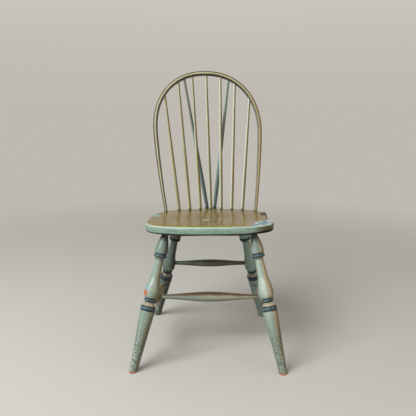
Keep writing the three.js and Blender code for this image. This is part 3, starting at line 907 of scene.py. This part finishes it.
def leg_paint():
    p = Paint("leg_paint")
    where, place = p.vector("grain"), p.place()
    side, front, leg_shade, warm = p.values("side", "front", "leg_shade", "warm")
    ring, groove, cove, collar, thick, along = p.values("ring", "groove", "cove", "collar", "thick", "along")
    x, y, z = p.parts(place)
    cool = p.span(warm, 0.6, 0.4)
    at_rear, at_right = p.span(y, -0.05, 0.05), p.span(x, 0.0, 0.05)
    height, clouds, mottle = old_paint(p, where, SAGE)
    # Painted light and shade: the side turned from the light olive and darker, the lit side pale
    faces_front = p.span(p.scaled(clouds, 0.3, front), -0.25, 0.25, 0.35, 1.0)
    away_shade = p.times(p.span(p.scaled(clouds, 0.8, side), 0.5, 1.3), faces_front)
    p.coat(OLIVE, away_shade, p.scaled(warm, -0.6, 0.8))
    pale = p.span(p.scaled(clouds, -0.5, side), -0.1, -0.8)
    p.coat(PALE, pale, p.scaled(warm, 0.87, -0.1), p.span(z, 0.1, 0.2, 0.4, 1.0))
    # A painted highlight down the lit side of the vase and taper, strongest on the front right leg
    crest_highlight = p.times(p.span(side, -0.75, -0.25), p.span(side, 0.35, -0.05),
                    p.span(z, 0.17, 0.2), p.span(z, 0.31, 0.27))
    p.coat((222, 232, 212), crest_highlight, warm, 0.6)
    # A warm tan down the right side, mostly on the front right leg: partly worn paint, partly painted warm light, with
    # painted shade at the far edge
    tan_and_warm_light = p.times(p.span(p.add(side, p.times(mottle, 0.7), p.times(clouds, 0.3)), 0.45, 1.05), warm, faces_front)
    p.coat(p.mix(p.span(side, 0.4, 0.95), (196, 168, 122), (132, 98, 60)), tan_and_warm_light)
    uneven_side = p.scaled(clouds, 0.3, side)
    # Painted shade down the side turned from the light, low on the leg
    low_side_shade = p.times(p.span(uneven_side, 0.25, 0.75), p.span(z, 0.2, 0.1), faces_front)
    p.coat((98, 92, 60), low_side_shade, 0.75)
    p.coat((92, 104, 88), p.span(z, 0.22, 0.08), 0.3)
    # A painted highlight streak down the lit left side of the low taper
    streak = p.times(p.span(side, -0.55, -0.4), p.span(side, -0.22, -0.36), p.span(z, 0.17, 0.14), p.rest(warm))
    p.coat((206, 220, 208), streak, faces_front, 0.85)
    # Painted shade high up under the seat, and a painted contact shadow at the top of the leg
    p.coat((76, 96, 90), p.span(z, 0.33, 0.405), p.span(x, 0.02, -0.05, 0.5, 0.7))
    shaded = p.times(p.span(z, 0.31, 0.35), p.span(uneven_side, 0.25, 1.0), cool, faces_front)
    p.coat((38, 44, 34), shaded, 0.75)
    p.coat((40, 48, 42), p.span(along, 0.017, 0.002), 0.8)
    # Painted shade over the rear left leg, darkest on its side turned from the light
    p.coat(p.mix(0.7, p.color, (58, 78, 74)), leg_shade)
    p.coat((26, 32, 26), leg_shade, faces_front, p.span(side, 0.0, 0.75), 0.8)
    # A painted lighter, cooler tone on the front of the rear right leg, and a warm tan down its right side: partly worn
    # paint, partly painted warm light
    p.coat(p.mix(0.45, p.color, (178, 228, 220)), at_rear, at_right, p.span(front, -0.1, 0.5))
    tan_side = p.times(at_rear, at_right, p.span(side, 0.35, 0.8), p.span(z, 0.27, 0.31))
    p.coat((164, 140, 88), tan_side, 0.7)
    # Rubbed, crackled paint low on the leg
    low = p.times(p.span(p.scaled(clouds, 0.06, z), 0.23, 0.05), p.scaled(leg_shade, -0.5, 1.0))
    plates = p.crackle(where, 16.0, 0.08)
    bits = p.noise(where, 28.0, 3.0, 0.6, shift=9.1)
    # Speckles on the lit left side low on the leg: crackled paint made brighter by a painted highlight
    speckled = p.times(p.span(side, -0.15, -0.4), cool, p.span(front, 0.0, 0.3), p.span(z, 0.1, 0.06))
    low = p.times(low, p.rest(p.times(p.span(side, -0.1, 0.3), cool, 0.45)))
    p.coat((216, 226, 216), p.span(bits, 0.53, 0.62), low, 0.85)
    p.coat((66, 68, 50), p.span(bits, 0.47, 0.38), low, 0.9)
    p.coat((232, 240, 232), p.span(bits, 0.5, 0.54), speckled, 0.9)
    p.coat((58, 64, 50), p.span(bits, 0.5, 0.44), speckled, 0.8)
    lines = p.times(plates, p.scaled(low, 0.7, 0.12))
    p.coat((70, 66, 46), lines)
    # Chips at the thick places
    chip_field = p.add(p.noise(where, 7.0, 5.0, 0.65, shift=5.3), p.times(thick, 0.09))
    chip = p.span(chip_field, 0.72, 0.735)
    under = p.span(chip_field, 0.675, 0.695)
    p.coat((176, 196, 192), under, 0.7)
    p.coat(p.mix(p.span(mottle, 0.4, 0.6), DARK_WOOD, (158, 124, 88)), chip)
    # The turned cove, collar, rings and grooves
    p.coat(p.mix(p.span(mottle, 0.4, 0.62), (190, 174, 152), (146, 130, 108)), cove, 0.85)
    p.coat((78, 70, 52), cove, leg_shade, 0.85)
    p.coat((190, 206, 190), collar, 0.7)
    # Teal ring paint with a painted highlight on the lit left, painted shade on the right and on the rear left leg
    ring_color = p.layers(
        TEAL, (p.span(mottle, 0.45, 0.68), (84, 122, 134)), (p.times(p.span(side, 0.1, -0.5), 0.45), (104, 142, 158)),
        (p.times(p.span(side, 0.3, 0.9), 0.75), (22, 34, 38)), (leg_shade, (20, 40, 50)),
        (p.times(at_rear, 0.6), (14, 46, 68)))
    p.coat(ring_color, ring, p.span(p.noise(where, 24.0, 3.0), 0.3, 0.38))
    # Painted shade in the grooves beside the rings and collar
    p.coat((16, 24, 24), groove, 0.95)
    # The chip down to the wood on one leg, with a lighter coat showing beside it
    p.coat((150, 190, 214), p.spot(place, (-0.1932, -0.2052, 0.2530), (0.0055, 0.03, 0.0048), ragged=0.8))
    bare = p.spot(place, (-0.1990, -0.2066, 0.2398), (0.0070, 0.03, 0.0088), ragged=0.7)
    p.coat((212, 124, 74), bare)
    # Bare, splintered wood where the feet meet the floor
    worn = p.span(p.scaled(bits, -0.012, z), 0.0012, -0.0018)
    p.coat(p.mix(p.span(bits, 0.4, 0.6), BARE_WOOD, (176, 104, 74)), worn, p.rest(at_rear))
    gloss = p.add(0.24, p.times(low, 0.16), p.times(mottle, 0.14), p.times(p.most(chip, bare), 0.3))
    height = p.add(height, p.times(lines, -0.8), p.times(bits, low, 0.8), p.times(chip, -1.0),
                   p.times(under, -0.5), p.times(bare, -1.0))
    return p.finish(gloss, height)


def stretcher_paint(name, top, middle, low, far, shine=0.5):
    """Paint with the light on its top painted in as a tone of its own, another colour in the middle and painted shade
    below.
    """
    p = Paint(name)
    where = p.vector("grain")
    up, ends, share = p.values("up", "ends", "share")
    height, clouds, mottle = old_paint(p, where, p.mix(p.span(share, 0.35, 0.75), middle, far))
    level = p.add(up, p.scaled(clouds, 0.6, -0.3))
    # Painted light on the top and painted shade underneath
    p.coat(top, p.span(level, 0.3, 0.75), 0.9)
    p.coat(low, p.span(level, -0.4, -0.9), 0.8)
    chip = p.chips(where, 8.0, 2.9, 0.70, (176, 190, 182))
    p.coat(GRIME, ends, 0.35)
    height = p.scaled(chip, -1.0, height)
    p.put(shine, p.shader.inputs[SPECULAR])
    return p.finish(p.add(0.36, p.times(mottle, 0.16), p.times(chip, 0.3)), height)


def spindle_paint(name, shade, middle_tone, pale, upper=None):
    """Paint with painted shade, brown, down one side, cream between and a painted highlight, pale, down the other,
    drawn out along the spindle.
    """
    p = Paint(name)
    where = p.vector("grain")
    side, foot, share = p.values("side", "foot", "share")
    height, clouds, mottle = old_paint(p, where, shade, 0.3, (1.0, 1.0, 0.16))
    level = p.add(side, p.scaled(clouds, 0.5, -0.25))
    if upper:
        middle_tone = p.mix(p.span(p.scaled(clouds, 0.3, share), 0.5, 0.85), middle_tone, upper)
    # Cream between, a painted highlight down the lit side, weaker on the spindles to the left, and painted shade along
    # the right edge
    p.coat(middle_tone, p.span(level, 0.25, -0.15), 0.85)
    p.coat(pale, p.span(level, -0.2, -0.6), p.span(p.parts(p.place())[0], -0.12, 0.06, 0.45, 0.95))
    p.coat((74, 62, 34), p.span(side, 0.7, 0.98), 0.8)
    p.coat(GRIME, p.span(foot, 0.35, 0.9), 0.7)
    chip = p.chips(where, 9.0, 7.7, 0.70)
    height = p.scaled(chip, -1.0, height)
    return p.finish(p.add(0.3, p.times(mottle, 0.15), p.times(chip, 0.3)), height)


def bow_paint():
    p = Paint("bow_paint")
    where = p.vector("grain")
    bead, quirk, outer, facing, foot, share = p.values("bead", "quirk", "outer", "facing", "foot", "share")
    height, clouds, mottle = old_paint(p, where, (130, 123, 87), 0.3, (1.0, 1.0, 0.12))
    # Painted shade on the bow's inner face, turning to a painted lit grey-teal on the right part, and painted shade
    # along the outer edge
    inner = p.times(p.span(outer, -0.2, -0.6), p.span(facing, -0.75, -0.45))
    p.coat(p.mix(p.span(share, 0.55, 0.8), (54, 52, 36), (138, 152, 146)), inner)
    p.coat((50, 46, 32), p.span(outer, 0.62, 0.84), p.span(facing, -0.5, -0.1), 0.95)
    p.coat(p.mix(p.span(mottle, 0.4, 0.6), (134, 140, 112), (112, 114, 84)), p.span(facing, -0.2, -0.6), 0.8)
    # A painted highlight along the round of the bead, warmer on the right part, and painted shade in the grooves beside
    # it
    cream = p.mix(p.span(share, 0.55, 0.75), (210, 202, 164), (200, 166, 110))
    p.coat(p.mix(p.span(mottle, 0.42, 0.62), cream, p.mix(0.5, cream, (168, 154, 118))), bead, 0.9)
    p.coat((54, 50, 34), quirk, 0.9)
    chip = p.chips(where, 6.0, 1.3, 0.69)
    p.coat(GRIME, p.span(foot, 0.3, 0.9), 0.7)
    height = p.scaled(chip, -1.0, height)
    return p.finish(p.add(0.32, p.times(mottle, 0.15), p.times(chip, 0.3)), height)


def seat_paint():
    p = Paint("seat_paint")
    place = p.place()
    where = p.vmath("MULTIPLY", place, (10.0, 10.0, 10.0))
    x, y, z = p.parts(place)
    depth, inset, patch, under, chip, feet = p.values("depth", "inset", "patch", "under", "chip", "feet")
    height, clouds, mottle = old_paint(p, where, (168, 197, 181), specks=0.3)
    brushed = p.noise(where, 12.0, 3.0, 0.6, stretch=(0.25, 0.25, 3.0))
    p.coat((116, 140, 120), p.span(brushed, 0.44, 0.62), 0.5)
    p.coat((188, 208, 196), p.span(brushed, 0.42, 0.32), 0.4)
    p.coat((98, 116, 96), p.span(depth, 8.0, 27.0, 0.0, 0.22))
    # Painted shade on the edge at the front of the seat's right end
    right_end_shade = p.times(p.span(p.scaled(clouds, 0.05, x), 0.135, 0.21), p.span(p.scaled(mottle, 0.06, y), 0.07, -0.03))
    edge_color = p.mix(right_end_shade, p.color, (114, 112, 78))
    # The deck: paint gone olive under yellowed varnish, in streaks along the grain; its tan is partly a painted
    # reflection
    streak = p.noise(where, 5.0, 4.0, 0.6, stretch=(1.0, 0.12, 1.0))
    front = p.times(p.span(y, -0.10, -0.15), p.span(inset, 34.0, 16.0))
    deck = p.layers(
        (126, 103, 46), (p.span(streak, 0.38, 0.66), (142, 119, 60)),
        (p.times(p.span(clouds, 0.45, 0.7), 0.5), (112, 94, 42)), (p.times(front, 0.85), (152, 128, 32)),
        (p.times(p.span(p.noise(where, 40.0, 2.0), 0.64, 0.7), 0.4), (92, 76, 40)))
    top = p.span(p.scaled(mottle, 1.6, depth), 3.9, 1.8)
    p.color = p.mix(top, edge_color, deck)
    # Pale arris all round, rubbed paint with a painted highlight on its round, and painted shade along the lower edge,
    # darkest at the right
    arris = p.times(p.span(depth, 1.6, 2.8), p.span(depth, 7.0, 4.5), p.span(inset, -6.0, -2.0))
    p.coat((200, 222, 214), arris, p.span(mottle, 0.3, 0.6, 0.5, 1.0), 0.85)
    lower_edge_shade = p.span(p.add(depth, p.times(mottle, 2.0), p.times(p.span(x, 0.11, 0.19), 4.5)), 23.6, 25.6)
    p.coat(p.mix(p.span(x, 0.09, 0.17), (28, 36, 26), (12, 12, 7)), lower_edge_shade, 0.95)
    p.coat(p.mix(p.span(streak, 0.4, 0.65), (84, 70, 46), (58, 48, 32)), under, p.span(inset, 4.0, 12.0))
    # The worn front corner: a pale under coat, ragged brown where the paint lifts
    diagonal = p.node("ShaderNodeMapping", {"Vector": place, "Rotation": (0.0, 0.0, -0.75)}).outputs["Vector"]
    lifted = p.add(patch, p.scaled(p.noise(place, 45.0, 4.0, 0.6), 36.0, -18.0),
                   p.scaled(p.noise(place, 150.0, 3.0, 0.6), 16.0, -8.0))
    fleck = p.noise(diagonal, 110.0, 3.0, 0.6, stretch=(0.6, 1.5, 1.0))
    flecks = p.times(p.span(lifted, -42.0, -14.0), p.span(fleck, 0.50, 0.55))
    edge_of_wear = p.most(p.span(lifted, -7.0, -5.0), flecks)
    bare = p.span(lifted, -0.5, 1.0)
    shard = p.noise(diagonal, 75.0, 4.0, 0.65, stretch=(0.45, 2.0, 1.0))
    primer = p.layers(
        (226, 236, 236), (p.span(shard, 0.40, 0.52), (98, 138, 144)),
        (p.times(p.span(shard, 0.57, 0.62), 0.85), (96, 84, 60)))
    fibres = p.noise(place, 240.0, 4.0, 0.6, stretch=(1.0, 0.12, 1.0))
    raw = p.mix(p.span(fibres, 0.4, 0.62), (184, 154, 118), (118, 86, 56))
    p.coat(raw, edge_of_wear, 0.8)
    ragged = p.scaled(p.noise(place, 120.0, 4.0, 0.6), 6.0, -3.0)
    broken = p.mix(p.span(y, 0.03, 0.06), raw, (112, 88, 42))
    p.coat(broken, p.span(p.add(chip, ragged), 1.2, 2.2))
    p.coat(primer, bare)
    torn = p.times(bare, p.span(lifted, 5.0, 3.0), p.span(x, 0.15, 0.175))
    p.coat((232, 238, 234), torn, 0.9)
    # A painted highlight on the rounded edge across the bare patch
    p.coat((226, 234, 232), bare, p.span(depth, 1.2, 2.4), 0.8)
    # Smaller marks
    marks = [
        ((0.193, 0.052, 0.443), (0.016, 0.044, 0.02), (78, 54, 18)),
        ((-0.189, 0.034, 0.436), (0.013, 0.03, 0.02), (142, 176, 170)),
        # A painted glint of light on the deck
        ((-0.013, -0.030, 0.440), (0.012, 0.007, 0.02), (206, 222, 208)),
        ((0.035, -0.015, 0.438), (0.004, 0.010, 0.02), (188, 170, 134)),
        ((-0.193, -0.137, 0.442), (0.004, 0.005, 0.004), (206, 140, 92)),
        ((0.200, -0.122, 0.446), (0.003, 0.012, 0.003), (172, 116, 92)),
    ]
    scuffed = 0.0
    for centre, radii, tint in marks:
        mark = p.spot(place, centre, radii)
        p.coat(tint, mark, 0.9)
        scuffed = p.most(mark, scuffed)
    # Darker round the feet of the spindles, braces and bow where they stand in the seat
    p.coat((52, 42, 22), feet, 0.7)
    p.put(p.scaled(front, -0.2, 0.27), p.shader.inputs[SPECULAR])
    gloss = p.add(0.18, p.times(p.span(depth, 3.0, 8.0), 0.22), p.times(p.most(bare, scuffed), 0.3),
                  p.times(mottle, 0.10), p.times(under, 0.3))
    height = p.add(p.times(clouds, 0.25), p.times(mottle, 0.12), p.times(bare, -0.7), p.times(shard, bare, 0.4))
    return p.finish(gloss, height, strength=0.4)


# Tones on top (painted light), in the middle, below (painted shade) and at the far end, and the shine where it isn't
# the usual one
STRETCHER_TONES = {
    "side_stretcher_left": ((124, 106, 54), (114, 98, 52), (58, 46, 28), (84, 60, 40), 0.15),
    "side_stretcher_right": ((176, 164, 146), (148, 142, 126), (96, 84, 70), (122, 106, 94), 0.2),
    "medial_stretcher": ((96, 68, 38), (180, 188, 170), (98, 114, 104), (184, 184, 158)),
    "rear_stretcher": ((92, 90, 68), (98, 108, 98), (52, 54, 42), (92, 96, 82)),
}

# What each piece rides on, what it stands for and how it looks

looks = [(legs, "leg_paint", leg_paint())]
for key, tones in STRETCHER_TONES.items():
    material = stretcher_paint(key.replace("stretcher", "stretcher_paint"), *tones)
    looks.append(({key: stretchers[key]}, "stretcher_paint", material))
looks += [
    (spindles, "spindle_paint", spindle_paint("spindle_paint", (118, 94, 40), (174, 166, 112), (224, 238, 230))),
    (braces, "brace_paint",
     spindle_paint("brace_paint", (78, 96, 90), (126, 150, 152), (170, 190, 186), (120, 118, 92))),
    ({"bow": bow}, "bow_paint", bow_paint()), ({"seat": seat}, "seat_paint", seat_paint()),
]
for group, slot, material in looks:
    for key, piece in group.items():
        piece.data.materials.clear()
        piece.data.materials.append(material)
        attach(piece, "root")
        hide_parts(key)

# Floor, backdrop, lamps and camera

# Linear colours of the floor and the backdrop; the floor throws back less light than it shows
HORIZON = (0.52, 0.49, 0.44, 1.0)
SKY = (0.70, 0.69, 0.67, 1.0)
FLOOR = (0.66, 0.63, 0.58, 1.0)
FLOOR_BOUNCE = (0.22, 0.18, 0.14, 1.0)
SKY_LIGHT = 0.52
FLOOR_RADIUS = 8.0
FLOOR_SIDES = 96
FLOOR_FADE = (1.0, 3.2)


def seen_directly(n):
    """One for rays from the camera, a gloss or a clear thing; nothing for the soft light that lights the chair."""
    rays = n.node("ShaderNodeLightPath", {}).outputs
    return n.most(rays["Is Camera Ray"], rays["Is Glossy Ray"], rays["Is Transmission Ray"])


def backdrop_level(n):
    return n.scaled(seen_directly(n), 1.0 - SKY_LIGHT, SKY_LIGHT)


def floor_material():
    """A pale floor that runs out into the backdrop's colour, far from the chair."""
    p = Paint("floor_pale")
    p.put(p.mix(seen_directly(p), FLOOR_BOUNCE, FLOOR), p.shader.inputs["Base Color"])
    p.put(0.9, p.shader.inputs["Roughness"])
    p.put(0.1, p.shader.inputs[SPECULAR])
    away = p.vmath("LENGTH", p.place(), (0.0, 0.0, 0.0))
    glow = p.node("ShaderNodeEmission", {"Color": HORIZON, "Strength": backdrop_level(p)}).outputs[0]
    both = p.node("ShaderNodeMixShader", {0: p.span(away, *FLOOR_FADE), 1: p.shader.outputs[0], 2: glow})
    p.tree.links.new(both.outputs[0], p.tree.nodes["Material Output"].inputs["Surface"])
    return p.material


def floor_disc():
    mesh = bpy.data.meshes.new("floor")
    points = [(0.0, 0.0, 0.0)]
    for i in range(FLOOR_SIDES):
        angle = 2.0 * math.pi * i / FLOOR_SIDES
        points.append((FLOOR_RADIUS * math.cos(angle), FLOOR_RADIUS * math.sin(angle), 0.0))
    mesh.from_pydata(points, [], [(0, 1 + i, 1 + (i + 1) % FLOOR_SIDES) for i in range(FLOOR_SIDES)])
    mesh.materials.append(floor_material())
    disc = new_object("floor", mesh)


floor_disc()


def area_lamp(name, place, target, size, power, color):
    data = bpy.data.lights.new(name, "AREA")
    data.size = size
    data.energy = power
    data.color = color
    lamp = new_object(name, data)
    lamp.location = place
    lamp.rotation_euler = (Vector(target) - Vector(place)).to_track_quat("-Z", "Y").to_euler()


area_lamp("key", (-1.75, -1.8, 2.85), (0, 0, 0.45), 2.1, 104.0, (0.97, 1.0, 1.0))
area_lamp("fill", (2.6, -2.2, 1.0), (0, 0, 0.4), 1.6, 14.0, (1.0, 0.93, 0.84))


def studio_world():
    """A plain backdrop, a little deeper in tone near the floor than overhead."""
    world = bpy.data.worlds.new("studio")
    world.use_nodes = True
    n = Nodes(world.node_tree)
    back = n.tree.nodes["Background"].inputs
    direction = n.node("ShaderNodeTexCoord", {}).outputs["Generated"]
    n.put(n.mix(n.span(n.parts(direction)[2], 0.0, 0.5), HORIZON, SKY), back["Color"])
    n.put(backdrop_level(n), back["Strength"])
    bpy.context.scene.world = world


studio_world()

CAMERA_PLACE = Vector((13.777, -1692.698, 798.393)) + OFFSET
CAMERA_YAW = -0.012
CAMERA_PITCH = 0.189
CAMERA_ROLL = 0.006
CAMERA_LENS = 43.73

camera_data = bpy.data.cameras.new("camera")
camera_data.lens = CAMERA_LENS
camera_data.sensor_width = 36.0
camera_data.sensor_fit = "HORIZONTAL"
camera_data.clip_start = 0.05
camera = new_object("camera", camera_data)
look = Vector((
    math.sin(CAMERA_YAW) * math.cos(CAMERA_PITCH),
    math.cos(CAMERA_YAW) * math.cos(CAMERA_PITCH),
    -math.sin(CAMERA_PITCH),
))
level = Vector((math.cos(CAMERA_YAW), -math.sin(CAMERA_YAW), 0.0))
upright = level.cross(look)
right = level * math.cos(CAMERA_ROLL) + upright * math.sin(CAMERA_ROLL)
up = upright * math.cos(CAMERA_ROLL) - level * math.sin(CAMERA_ROLL)
turn = Matrix((right, up, -look)).transposed().to_4x4()
camera.matrix_world = Matrix.Translation(CAMERA_PLACE * MM) @ turn
bpy.context.scene.camera = camera

bpy.context.scene.view_settings.view_transform = "Standard"
